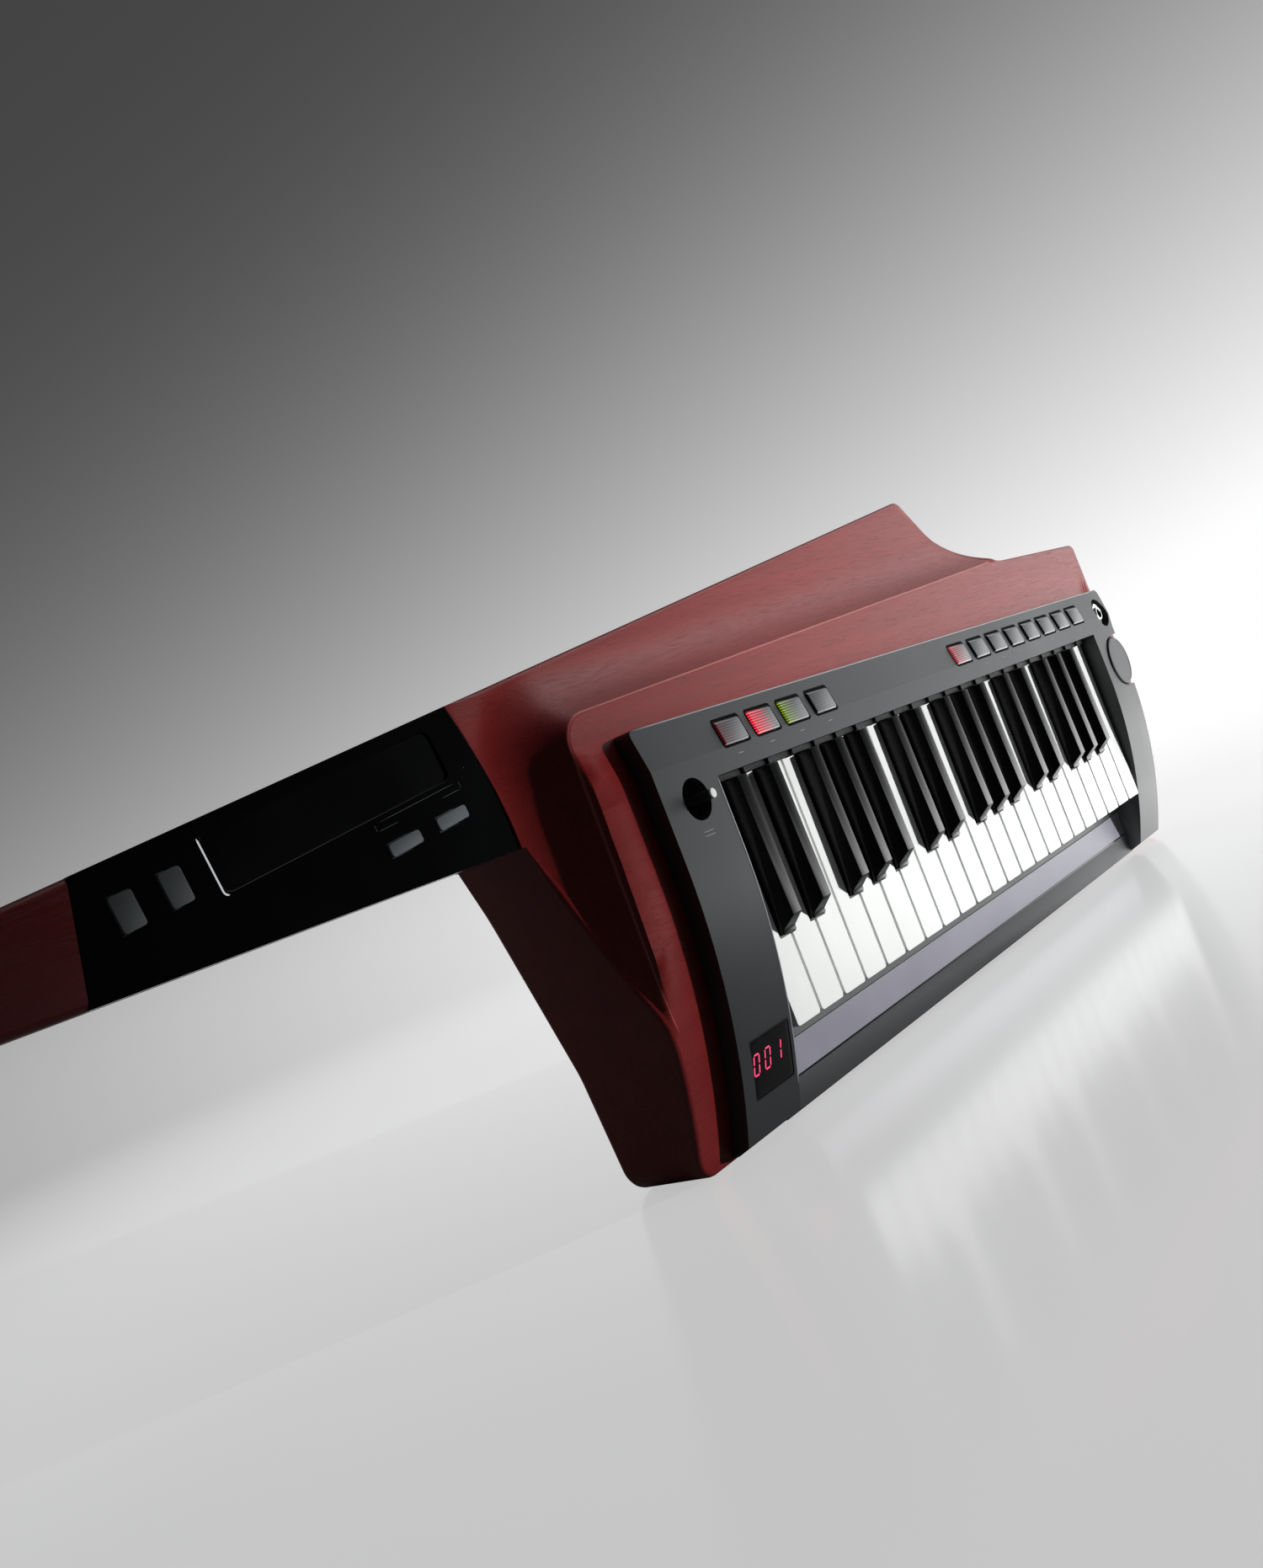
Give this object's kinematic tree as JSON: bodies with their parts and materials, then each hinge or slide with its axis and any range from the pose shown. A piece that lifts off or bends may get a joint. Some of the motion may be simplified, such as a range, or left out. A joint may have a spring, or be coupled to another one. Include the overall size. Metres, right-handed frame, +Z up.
{
  "type": "keytar",
  "caption": "Keytar with a stained wooden body and slim neck, a mini keyboard, ribbon strips, push buttons, a small lever and a flat volume dial, standing on its long lower edge.",
  "frame": {"origin": "middle of the bounding box on the surface that the lower edge stands on", "axes": "+X along the keys towards the treble end, +Y from the face to the back, +Z up"},
  "size_m": [0.8374, 0.0808, 0.2585],
  "materials": {
    "stained_wood": "red stain under satin lacquer",
    "charcoal_shell": "moulded, fine matt texture",
    "black_plastic": "moulded, matt",
    "circuit_board": "solder mask",
    "ribbon_film": "smooth glossy film",
    "chrome": "polished plating",
    "grey_cap": "moulded, satin",
    "black_gloss": "polished black",
    "white_key": "moulded, satin gloss",
    "black_key": "moulded, satin"
  },
  "bodies": {
    "housing": {"wood_body": "stained_wood", "front_panel": "charcoal_shell", "back_cover": "black_plastic", "key_chassis": "black_plastic", "main_board": "circuit_board", "long_ribbon": "ribbon_film", "output_jack": "chrome", "neck_panel": "black_gloss", "short_ribbon": "black_gloss", "strap_pin_neck": "chrome", "strap_pin_body": "chrome"},
    "white_key_01": {"white_key_01": "white_key"},
    "white_key_02": {"white_key_02": "white_key"},
    "white_key_03": {"white_key_03": "white_key"},
    "white_key_04": {"white_key_04": "white_key"},
    "white_key_05": {"white_key_05": "white_key"},
    "white_key_06": {"white_key_06": "white_key"},
    "white_key_07": {"white_key_07": "white_key"},
    "white_key_08": {"white_key_08": "white_key"},
    "white_key_09": {"white_key_09": "white_key"},
    "white_key_10": {"white_key_10": "white_key"},
    "white_key_11": {"white_key_11": "white_key"},
    "white_key_12": {"white_key_12": "white_key"},
    "white_key_13": {"white_key_13": "white_key"},
    "white_key_14": {"white_key_14": "white_key"},
    "white_key_15": {"white_key_15": "white_key"},
    "white_key_16": {"white_key_16": "white_key"},
    "white_key_17": {"white_key_17": "white_key"},
    "white_key_18": {"white_key_18": "white_key"},
    "white_key_19": {"white_key_19": "white_key"},
    "white_key_20": {"white_key_20": "white_key"},
    "white_key_21": {"white_key_21": "white_key"},
    "white_key_22": {"white_key_22": "white_key"},
    "black_key_01": {"black_key_01": "black_key"},
    "black_key_02": {"black_key_02": "black_key"},
    "black_key_03": {"black_key_03": "black_key"},
    "black_key_04": {"black_key_04": "black_key"},
    "black_key_05": {"black_key_05": "black_key"},
    "black_key_06": {"black_key_06": "black_key"},
    "black_key_07": {"black_key_07": "black_key"},
    "black_key_08": {"black_key_08": "black_key"},
    "black_key_09": {"black_key_09": "black_key"},
    "black_key_10": {"black_key_10": "black_key"},
    "black_key_11": {"black_key_11": "black_key"},
    "black_key_12": {"black_key_12": "black_key"},
    "black_key_13": {"black_key_13": "black_key"},
    "black_key_14": {"black_key_14": "black_key"},
    "black_key_15": {"black_key_15": "black_key"},
    "function_button_1": {"function_button_1": "grey_cap"},
    "function_button_2": {"function_button_2": "grey_cap"},
    "function_button_3": {"function_button_3": "grey_cap"},
    "function_button_4": {"function_button_4": "grey_cap"},
    "favourite_buttons": {"favourite_buttons": "grey_cap"},
    "neck_button_1": {"neck_button_1": "grey_cap"},
    "neck_button_2": {"neck_button_2": "grey_cap"},
    "neck_button_3": {"neck_button_3": "grey_cap"},
    "neck_button_4": {"neck_button_4": "grey_cap"},
    "mode_lever": {"mode_lever": "black_key"},
    "volume_knob": {"volume_knob": "grey_cap"},
    "battery_door": {"battery_door": "black_plastic"}
  },
  "joints": [
    {"name": "mode_lever_tilt", "type": "hinge", "parent": "housing", "child": "mode_lever", "pos_m": [-0.11961, -0.01485, 0.1378], "axis": [0, 0, 1], "range_deg": [-12, 12], "stiffness_Nm_per_rad": 0.05},
    {"name": "volume_knob_turn", "type": "hinge", "parent": "housing", "child": "volume_knob", "pos_m": [0.37419, -0.02885, 0.1214], "axis": [0, -1, 0], "range_deg": [-150, 150]},
    {"name": "battery_door_pull", "type": "slide", "parent": "housing", "child": "battery_door", "axis": [0, 1, 0], "range_m": [0, 0.02]},
    {"name": "function_button_1_press", "type": "slide", "parent": "housing", "child": "function_button_1", "axis": [0, 1, 0], "range_m": [0, 0.0009], "stiffness_N_per_m": 800, "springref_m": -0.001},
    {"name": "function_button_2_press", "type": "slide", "parent": "housing", "child": "function_button_2", "axis": [0, 1, 0], "range_m": [0, 0.0009], "stiffness_N_per_m": 800, "springref_m": -0.001},
    {"name": "favourite_buttons_press", "type": "slide", "parent": "housing", "child": "favourite_buttons", "axis": [0, 1, 0], "range_m": [0, 0.0009], "stiffness_N_per_m": 2400, "springref_m": -0.001},
    {"name": "neck_button_1_press", "type": "slide", "parent": "housing", "child": "neck_button_1", "axis": [0, 1, 0], "range_m": [0, 0.0008], "stiffness_N_per_m": 800, "springref_m": -0.001},
    {"name": "neck_button_3_press", "type": "slide", "parent": "housing", "child": "neck_button_3", "axis": [0, 1, 0], "range_m": [0, 0.0008], "stiffness_N_per_m": 800, "springref_m": -0.001},
    {"name": "white_key_01_press", "type": "hinge", "parent": "housing", "child": "white_key_01", "pos_m": [-0.08901, -0.01625, 0.1585], "axis": [1, 0, 0], "range_deg": [0, 2.1], "stiffness_Nm_per_rad": 0.4, "springref_deg": -4.58},
    {"name": "black_key_01_press", "type": "hinge", "parent": "housing", "child": "black_key_01", "pos_m": [-0.08171, -0.01625, 0.1585], "axis": [1, 0, 0], "range_deg": [0, 2.1], "stiffness_Nm_per_rad": 0.4, "springref_deg": -4.58},
    {"name": "white_key_02_press", "type": "hinge", "parent": "housing", "child": "white_key_02", "pos_m": [-0.06881, -0.01625, 0.1585], "axis": [1, 0, 0], "range_deg": [0, 2.1], "stiffness_Nm_per_rad": 0.4, "springref_deg": -4.58},
    {"name": "black_key_02_press", "type": "hinge", "parent": "housing", "child": "black_key_02", "pos_m": [-0.05651, -0.01625, 0.1585], "axis": [1, 0, 0], "range_deg": [0, 2.1], "stiffness_Nm_per_rad": 0.4, "springref_deg": -4.58},
    {"name": "white_key_10_press", "type": "hinge", "parent": "housing", "child": "white_key_10", "pos_m": [0.09279, -0.01625, 0.1585], "axis": [1, 0, 0], "range_deg": [0, 2.1], "stiffness_Nm_per_rad": 0.4, "springref_deg": -4.58},
    {"name": "black_key_07_press", "type": "hinge", "parent": "housing", "child": "black_key_07", "pos_m": [0.08489, -0.01625, 0.1585], "axis": [1, 0, 0], "range_deg": [0, 2.1], "stiffness_Nm_per_rad": 0.4, "springref_deg": -4.58},
    {"name": "white_key_22_press", "type": "hinge", "parent": "housing", "child": "white_key_22", "pos_m": [0.33519, -0.01625, 0.1585], "axis": [1, 0, 0], "range_deg": [0, 2.1], "stiffness_Nm_per_rad": 0.4, "springref_deg": -4.58},
    {"name": "black_key_15_press", "type": "hinge", "parent": "housing", "child": "black_key_15", "pos_m": [0.30809, -0.01625, 0.1585], "axis": [1, 0, 0], "range_deg": [0, 2.1], "stiffness_Nm_per_rad": 0.4, "springref_deg": -4.58},
    {"name": "function_button_3_press", "type": "slide", "parent": "housing", "child": "function_button_3", "axis": [0, 1, 0], "range_m": [0, 0.0009], "stiffness_N_per_m": 800, "springref_m": -0.001},
    {"name": "function_button_4_press", "type": "slide", "parent": "housing", "child": "function_button_4", "axis": [0, 1, 0], "range_m": [0, 0.0009], "stiffness_N_per_m": 800, "springref_m": -0.001},
    {"name": "neck_button_2_press", "type": "slide", "parent": "housing", "child": "neck_button_2", "axis": [0, 1, 0], "range_m": [0, 0.0008], "stiffness_N_per_m": 800, "springref_m": -0.001},
    {"name": "neck_button_4_press", "type": "slide", "parent": "housing", "child": "neck_button_4", "axis": [0, 1, 0], "range_m": [0, 0.0008], "stiffness_N_per_m": 800, "springref_m": -0.001},
    {"name": "white_key_03_press", "type": "hinge", "parent": "housing", "child": "white_key_03", "pos_m": [-0.04861, -0.01625, 0.1585], "axis": [1, 0, 0], "range_deg": [0, 2.1], "stiffness_Nm_per_rad": 0.4, "springref_deg": -4.58},
    {"name": "white_key_04_press", "type": "hinge", "parent": "housing", "child": "white_key_04", "pos_m": [-0.02841, -0.01625, 0.1585], "axis": [1, 0, 0], "range_deg": [0, 2.1], "stiffness_Nm_per_rad": 0.4, "springref_deg": -4.58},
    {"name": "white_key_05_press", "type": "hinge", "parent": "housing", "child": "white_key_05", "pos_m": [-0.00821, -0.01625, 0.1585], "axis": [1, 0, 0], "range_deg": [0, 2.1], "stiffness_Nm_per_rad": 0.4, "springref_deg": -4.58},
    {"name": "white_key_06_press", "type": "hinge", "parent": "housing", "child": "white_key_06", "pos_m": [0.01199, -0.01625, 0.1585], "axis": [1, 0, 0], "range_deg": [0, 2.1], "stiffness_Nm_per_rad": 0.4, "springref_deg": -4.58},
    {"name": "white_key_07_press", "type": "hinge", "parent": "housing", "child": "white_key_07", "pos_m": [0.03219, -0.01625, 0.1585], "axis": [1, 0, 0], "range_deg": [0, 2.1], "stiffness_Nm_per_rad": 0.4, "springref_deg": -4.58},
    {"name": "white_key_08_press", "type": "hinge", "parent": "housing", "child": "white_key_08", "pos_m": [0.05239, -0.01625, 0.1585], "axis": [1, 0, 0], "range_deg": [0, 2.1], "stiffness_Nm_per_rad": 0.4, "springref_deg": -4.58},
    {"name": "white_key_09_press", "type": "hinge", "parent": "housing", "child": "white_key_09", "pos_m": [0.07259, -0.01625, 0.1585], "axis": [1, 0, 0], "range_deg": [0, 2.1], "stiffness_Nm_per_rad": 0.4, "springref_deg": -4.58},
    {"name": "white_key_11_press", "type": "hinge", "parent": "housing", "child": "white_key_11", "pos_m": [0.11299, -0.01625, 0.1585], "axis": [1, 0, 0], "range_deg": [0, 2.1], "stiffness_Nm_per_rad": 0.4, "springref_deg": -4.58},
    {"name": "white_key_12_press", "type": "hinge", "parent": "housing", "child": "white_key_12", "pos_m": [0.13319, -0.01625, 0.1585], "axis": [1, 0, 0], "range_deg": [0, 2.1], "stiffness_Nm_per_rad": 0.4, "springref_deg": -4.58},
    {"name": "white_key_13_press", "type": "hinge", "parent": "housing", "child": "white_key_13", "pos_m": [0.15339, -0.01625, 0.1585], "axis": [1, 0, 0], "range_deg": [0, 2.1], "stiffness_Nm_per_rad": 0.4, "springref_deg": -4.58},
    {"name": "white_key_14_press", "type": "hinge", "parent": "housing", "child": "white_key_14", "pos_m": [0.17359, -0.01625, 0.1585], "axis": [1, 0, 0], "range_deg": [0, 2.1], "stiffness_Nm_per_rad": 0.4, "springref_deg": -4.58},
    {"name": "white_key_15_press", "type": "hinge", "parent": "housing", "child": "white_key_15", "pos_m": [0.19379, -0.01625, 0.1585], "axis": [1, 0, 0], "range_deg": [0, 2.1], "stiffness_Nm_per_rad": 0.4, "springref_deg": -4.58},
    {"name": "white_key_16_press", "type": "hinge", "parent": "housing", "child": "white_key_16", "pos_m": [0.21399, -0.01625, 0.1585], "axis": [1, 0, 0], "range_deg": [0, 2.1], "stiffness_Nm_per_rad": 0.4, "springref_deg": -4.58},
    {"name": "white_key_17_press", "type": "hinge", "parent": "housing", "child": "white_key_17", "pos_m": [0.23419, -0.01625, 0.1585], "axis": [1, 0, 0], "range_deg": [0, 2.1], "stiffness_Nm_per_rad": 0.4, "springref_deg": -4.58},
    {"name": "white_key_18_press", "type": "hinge", "parent": "housing", "child": "white_key_18", "pos_m": [0.25439, -0.01625, 0.1585], "axis": [1, 0, 0], "range_deg": [0, 2.1], "stiffness_Nm_per_rad": 0.4, "springref_deg": -4.58},
    {"name": "white_key_19_press", "type": "hinge", "parent": "housing", "child": "white_key_19", "pos_m": [0.27459, -0.01625, 0.1585], "axis": [1, 0, 0], "range_deg": [0, 2.1], "stiffness_Nm_per_rad": 0.4, "springref_deg": -4.58},
    {"name": "white_key_20_press", "type": "hinge", "parent": "housing", "child": "white_key_20", "pos_m": [0.29479, -0.01625, 0.1585], "axis": [1, 0, 0], "range_deg": [0, 2.1], "stiffness_Nm_per_rad": 0.4, "springref_deg": -4.58},
    {"name": "white_key_21_press", "type": "hinge", "parent": "housing", "child": "white_key_21", "pos_m": [0.31499, -0.01625, 0.1585], "axis": [1, 0, 0], "range_deg": [0, 2.1], "stiffness_Nm_per_rad": 0.4, "springref_deg": -4.58},
    {"name": "black_key_03_press", "type": "hinge", "parent": "housing", "child": "black_key_03", "pos_m": [-0.02111, -0.01625, 0.1585], "axis": [1, 0, 0], "range_deg": [0, 2.1], "stiffness_Nm_per_rad": 0.4, "springref_deg": -4.58},
    {"name": "black_key_04_press", "type": "hinge", "parent": "housing", "child": "black_key_04", "pos_m": [0.00189, -0.01625, 0.1585], "axis": [1, 0, 0], "range_deg": [0, 2.1], "stiffness_Nm_per_rad": 0.4, "springref_deg": -4.58},
    {"name": "black_key_05_press", "type": "hinge", "parent": "housing", "child": "black_key_05", "pos_m": [0.02529, -0.01625, 0.1585], "axis": [1, 0, 0], "range_deg": [0, 2.1], "stiffness_Nm_per_rad": 0.4, "springref_deg": -4.58},
    {"name": "black_key_06_press", "type": "hinge", "parent": "housing", "child": "black_key_06", "pos_m": [0.05969, -0.01625, 0.1585], "axis": [1, 0, 0], "range_deg": [0, 2.1], "stiffness_Nm_per_rad": 0.4, "springref_deg": -4.58},
    {"name": "black_key_08_press", "type": "hinge", "parent": "housing", "child": "black_key_08", "pos_m": [0.12029, -0.01625, 0.1585], "axis": [1, 0, 0], "range_deg": [0, 2.1], "stiffness_Nm_per_rad": 0.4, "springref_deg": -4.58},
    {"name": "black_key_09_press", "type": "hinge", "parent": "housing", "child": "black_key_09", "pos_m": [0.14329, -0.01625, 0.1585], "axis": [1, 0, 0], "range_deg": [0, 2.1], "stiffness_Nm_per_rad": 0.4, "springref_deg": -4.58},
    {"name": "black_key_10_press", "type": "hinge", "parent": "housing", "child": "black_key_10", "pos_m": [0.16669, -0.01625, 0.1585], "axis": [1, 0, 0], "range_deg": [0, 2.1], "stiffness_Nm_per_rad": 0.4, "springref_deg": -4.58},
    {"name": "black_key_11_press", "type": "hinge", "parent": "housing", "child": "black_key_11", "pos_m": [0.20109, -0.01625, 0.1585], "axis": [1, 0, 0], "range_deg": [0, 2.1], "stiffness_Nm_per_rad": 0.4, "springref_deg": -4.58},
    {"name": "black_key_12_press", "type": "hinge", "parent": "housing", "child": "black_key_12", "pos_m": [0.22629, -0.01625, 0.1585], "axis": [1, 0, 0], "range_deg": [0, 2.1], "stiffness_Nm_per_rad": 0.4, "springref_deg": -4.58},
    {"name": "black_key_13_press", "type": "hinge", "parent": "housing", "child": "black_key_13", "pos_m": [0.26169, -0.01625, 0.1585], "axis": [1, 0, 0], "range_deg": [0, 2.1], "stiffness_Nm_per_rad": 0.4, "springref_deg": -4.58},
    {"name": "black_key_14_press", "type": "hinge", "parent": "housing", "child": "black_key_14", "pos_m": [0.28469, -0.01625, 0.1585], "axis": [1, 0, 0], "range_deg": [0, 2.1], "stiffness_Nm_per_rad": 0.4, "springref_deg": -4.58}
  ]
}
